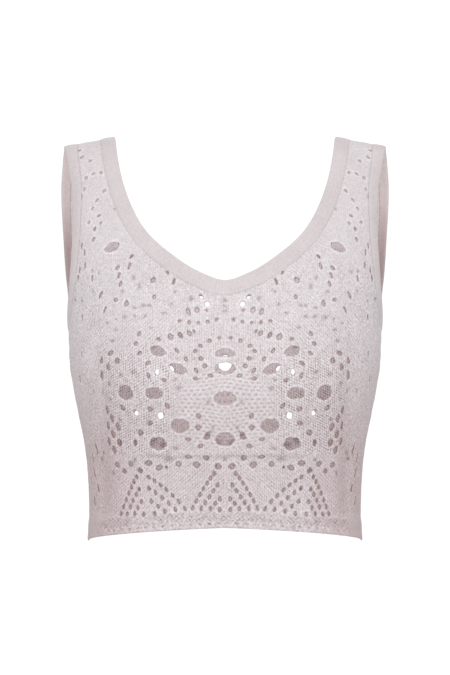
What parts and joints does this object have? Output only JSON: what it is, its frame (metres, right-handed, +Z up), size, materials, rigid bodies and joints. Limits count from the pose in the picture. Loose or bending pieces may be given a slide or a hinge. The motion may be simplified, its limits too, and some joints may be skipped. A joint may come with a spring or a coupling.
{
  "type": "knit top",
  "caption": "Cropped sleeveless knit top in pointelle lace with a scooped V neck, plain neck and armhole bands and an arched hem, filled out as worn.",
  "frame": {"origin": "midway between the shoulders, at the height where the straps lie on them", "axes": "+Z up along the body, -Y to the front of the wearer, +X to the wearer's left"},
  "size_m": [0.3034, 0.2203, 0.3681],
  "materials": {
    "lace_knit": "matt pale pinkish lilac knit with eyelets cut through",
    "band_knit": "smooth plain knit in the same yarn"
  },
  "bodies": {
    "root": {"front_panel": "lace_knit", "back_panel": "lace_knit", "neckband": "band_knit", "armhole_band_left": "band_knit", "armhole_band_right": "band_knit"}
  },
  "joints": []
}
